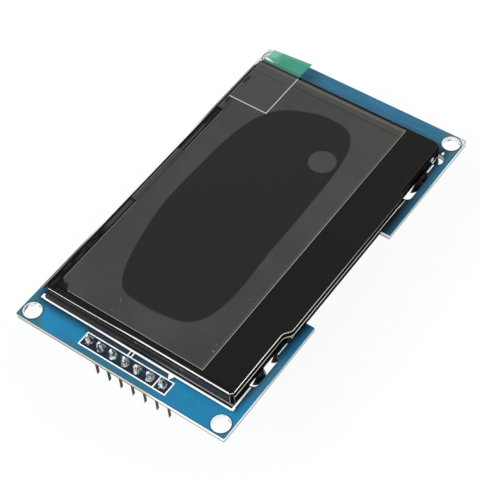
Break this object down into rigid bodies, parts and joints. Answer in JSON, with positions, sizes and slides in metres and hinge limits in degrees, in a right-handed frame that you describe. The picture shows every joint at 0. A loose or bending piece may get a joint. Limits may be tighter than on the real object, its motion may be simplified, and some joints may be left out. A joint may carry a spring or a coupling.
{
  "type": "oled display module",
  "caption": "Thin rectangular display panel stuck on a circuit board with corner fixing holes, a folded flex cable and a row of header pins.",
  "frame": {"origin": "middle of the four corner fixing holes, on the back face of the circuit board", "axes": "+X along the board away from the header, +Y across it away from the flex cable, +Z out of the display's face"},
  "size_m": [0.073, 0.043, 0.0129],
  "materials": {
    "board": "blue solder mask on glass fibre board, satin",
    "tinned": "tinned copper",
    "print": "white printed ink",
    "foam": "dark foam tape",
    "cap_glass": "dark ground glass",
    "front_glass": "dark glass with bright ground edges",
    "polarizer": "dark grey polarizing film",
    "film": "clear film, slightly milky",
    "clear_tape": "clear tape",
    "green_tab": "translucent green film",
    "black_tape": "glossy black tape",
    "flex": "brown flexible circuit",
    "solder": "bright solder",
    "silicon": "polished silicon",
    "glue": "black silicone glue",
    "housing": "black moulded plastic",
    "pin_metal": "gold plated wire",
    "capacitor": "tan ceramic with tinned ends",
    "resistor": "black glazed ceramic with tinned ends",
    "package": "black moulded package with tinned feet",
    "ferrite": "dark grey ferrite"
  },
  "bodies": {
    "root": {"circuit_board": "board", "mounting_rings": "tinned", "white_print": "print", "foam_tape": "foam", "cap_glass": "cap_glass", "front_glass": "front_glass", "polarizer": "polarizer", "protective_film": "film", "clear_tape": "clear_tape", "pull_tab": "green_tab", "ledge_cover": "black_tape", "flex_cable": "flex", "flex_solder": "solder", "driver_chip": "silicon", "ledge_foam": "foam", "glue": "glue", "header_housing": "housing", "header_pins": "pin_metal", "header_solder": "solder", "ceramic_capacitors": "capacitor", "chip_resistors": "resistor", "voltage_booster": "package", "regulator": "package", "inductor": "ferrite", "rectifier_diode": "package", "back_pads": "tinned"}
  },
  "joints": []
}
